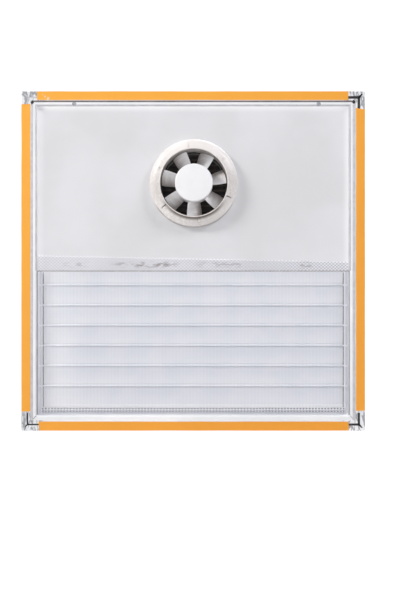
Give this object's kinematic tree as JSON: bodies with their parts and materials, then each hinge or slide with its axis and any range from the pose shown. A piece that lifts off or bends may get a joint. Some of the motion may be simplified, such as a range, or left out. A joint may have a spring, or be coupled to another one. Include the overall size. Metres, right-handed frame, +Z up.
{
  "type": "window exhaust fan",
  "caption": "White framed window insert with a round axial exhaust fan in its upper panel and a gravity shutter behind an insect net below.",
  "frame": {"origin": "middle of the sill bar's bottom face, at mid depth of the frame", "axes": "+Z up, -Y into the room, +Y outdoors, +X to the right seen from the room"},
  "size_m": [0.8, 0.098, 0.79],
  "materials": {
    "coated_frame": "white powder coat, satin",
    "bead": "white extruded plastic",
    "orange_tape": "smooth tape",
    "pale_panel": "pale grey sheet, satin",
    "insect_net": "coated fine net",
    "packer": "plain strip",
    "flap_sheet": "white extruded plastic",
    "coated_rod": "white coated rod",
    "fan_moulding": "warm white moulding",
    "impeller_moulding": "warm white moulding",
    "dark_moulding": "fine texture",
    "cast_alloy": "as cast",
    "bright_steel": "zinc plated",
    "bearing_bronze": "sintered bronze"
  },
  "bodies": {
    "window_unit": {"frame_sill": "coated_frame", "bead_sill": "bead", "edge_tape_sill": "orange_tape", "frame_head": "coated_frame", "bead_head": "bead", "edge_tape_head": "orange_tape", "frame_left": "coated_frame", "bead_left": "bead", "edge_tape_left": "orange_tape", "frame_right": "coated_frame", "bead_right": "bead", "edge_tape_right": "orange_tape", "corner_cleat_lower_left": "cast_alloy", "corner_cleat_lower_right": "cast_alloy", "corner_cleat_upper_left": "cast_alloy", "corner_cleat_upper_right": "cast_alloy", "bead_screw_left": "bright_steel", "bead_screw_right": "bright_steel", "upper_panel": "pale_panel", "insect_mesh": "insect_net", "mesh_packer_left": "packer", "mesh_packer_right": "packer", "mesh_packer_sill": "packer", "shutter_stile_left": "coated_frame", "shutter_stile_right": "coated_frame", "shutter_head_rail": "coated_frame", "shutter_sill_rail": "coated_frame", "fan_flange": "fan_moulding", "fan_duct": "fan_moulding", "rear_clamp_ring": "fan_moulding", "outer_grille": "dark_moulding", "grille_vanes": "dark_moulding", "motor_mount": "dark_moulding", "terminal_box": "dark_moulding", "cable_gland": "dark_moulding", "motor_housing": "cast_alloy", "motor_end_cap": "cast_alloy", "bearing_front": "bearing_bronze", "bearing_rear": "bearing_bronze", "stator": "bright_steel", "flange_screw_1": "bright_steel", "flange_screw_2": "bright_steel", "flange_screw_3": "bright_steel"},
    "fan_wheel": {"impeller": "impeller_moulding", "rotor": "bright_steel", "shaft": "bright_steel"},
    "leaf_1": {"flap_1": "flap_sheet", "pivot_rod_1": "coated_rod"},
    "leaf_2": {"flap_2": "flap_sheet", "pivot_rod_2": "coated_rod"},
    "leaf_3": {"flap_3": "flap_sheet", "pivot_rod_3": "coated_rod"},
    "leaf_4": {"flap_4": "flap_sheet", "pivot_rod_4": "coated_rod"},
    "leaf_5": {"flap_5": "flap_sheet", "pivot_rod_5": "coated_rod"},
    "leaf_6": {"flap_6": "flap_sheet", "pivot_rod_6": "coated_rod"},
    "leaf_7": {"flap_7": "flap_sheet", "pivot_rod_7": "coated_rod"}
  },
  "joints": [
    {"name": "fan_wheel_spin", "type": "hinge", "parent": "window_unit", "child": "fan_wheel", "pos_m": [0.0015, 0, 0.5765], "axis": [0, 1, 0], "continuous": true},
    {"name": "leaf_1_swing", "type": "hinge", "parent": "window_unit", "child": "leaf_1", "pos_m": [0, -0.0065, 0.3869], "axis": [1, 0, 0], "range_deg": [0, 75]},
    {"name": "leaf_2_swing", "type": "hinge", "parent": "window_unit", "child": "leaf_2", "pos_m": [0, -0.0065, 0.3394], "axis": [1, 0, 0], "range_deg": [0, 75]},
    {"name": "leaf_3_swing", "type": "hinge", "parent": "window_unit", "child": "leaf_3", "pos_m": [0, -0.0065, 0.2919], "axis": [1, 0, 0], "range_deg": [0, 75]},
    {"name": "leaf_4_swing", "type": "hinge", "parent": "window_unit", "child": "leaf_4", "pos_m": [0, -0.0065, 0.2444], "axis": [1, 0, 0], "range_deg": [0, 75]},
    {"name": "leaf_5_swing", "type": "hinge", "parent": "window_unit", "child": "leaf_5", "pos_m": [0, -0.0065, 0.1969], "axis": [1, 0, 0], "range_deg": [0, 75]},
    {"name": "leaf_6_swing", "type": "hinge", "parent": "window_unit", "child": "leaf_6", "pos_m": [0, -0.0065, 0.1494], "axis": [1, 0, 0], "range_deg": [0, 75]},
    {"name": "leaf_7_swing", "type": "hinge", "parent": "window_unit", "child": "leaf_7", "pos_m": [0, -0.0065, 0.1019], "axis": [1, 0, 0], "range_deg": [0, 75]}
  ]
}
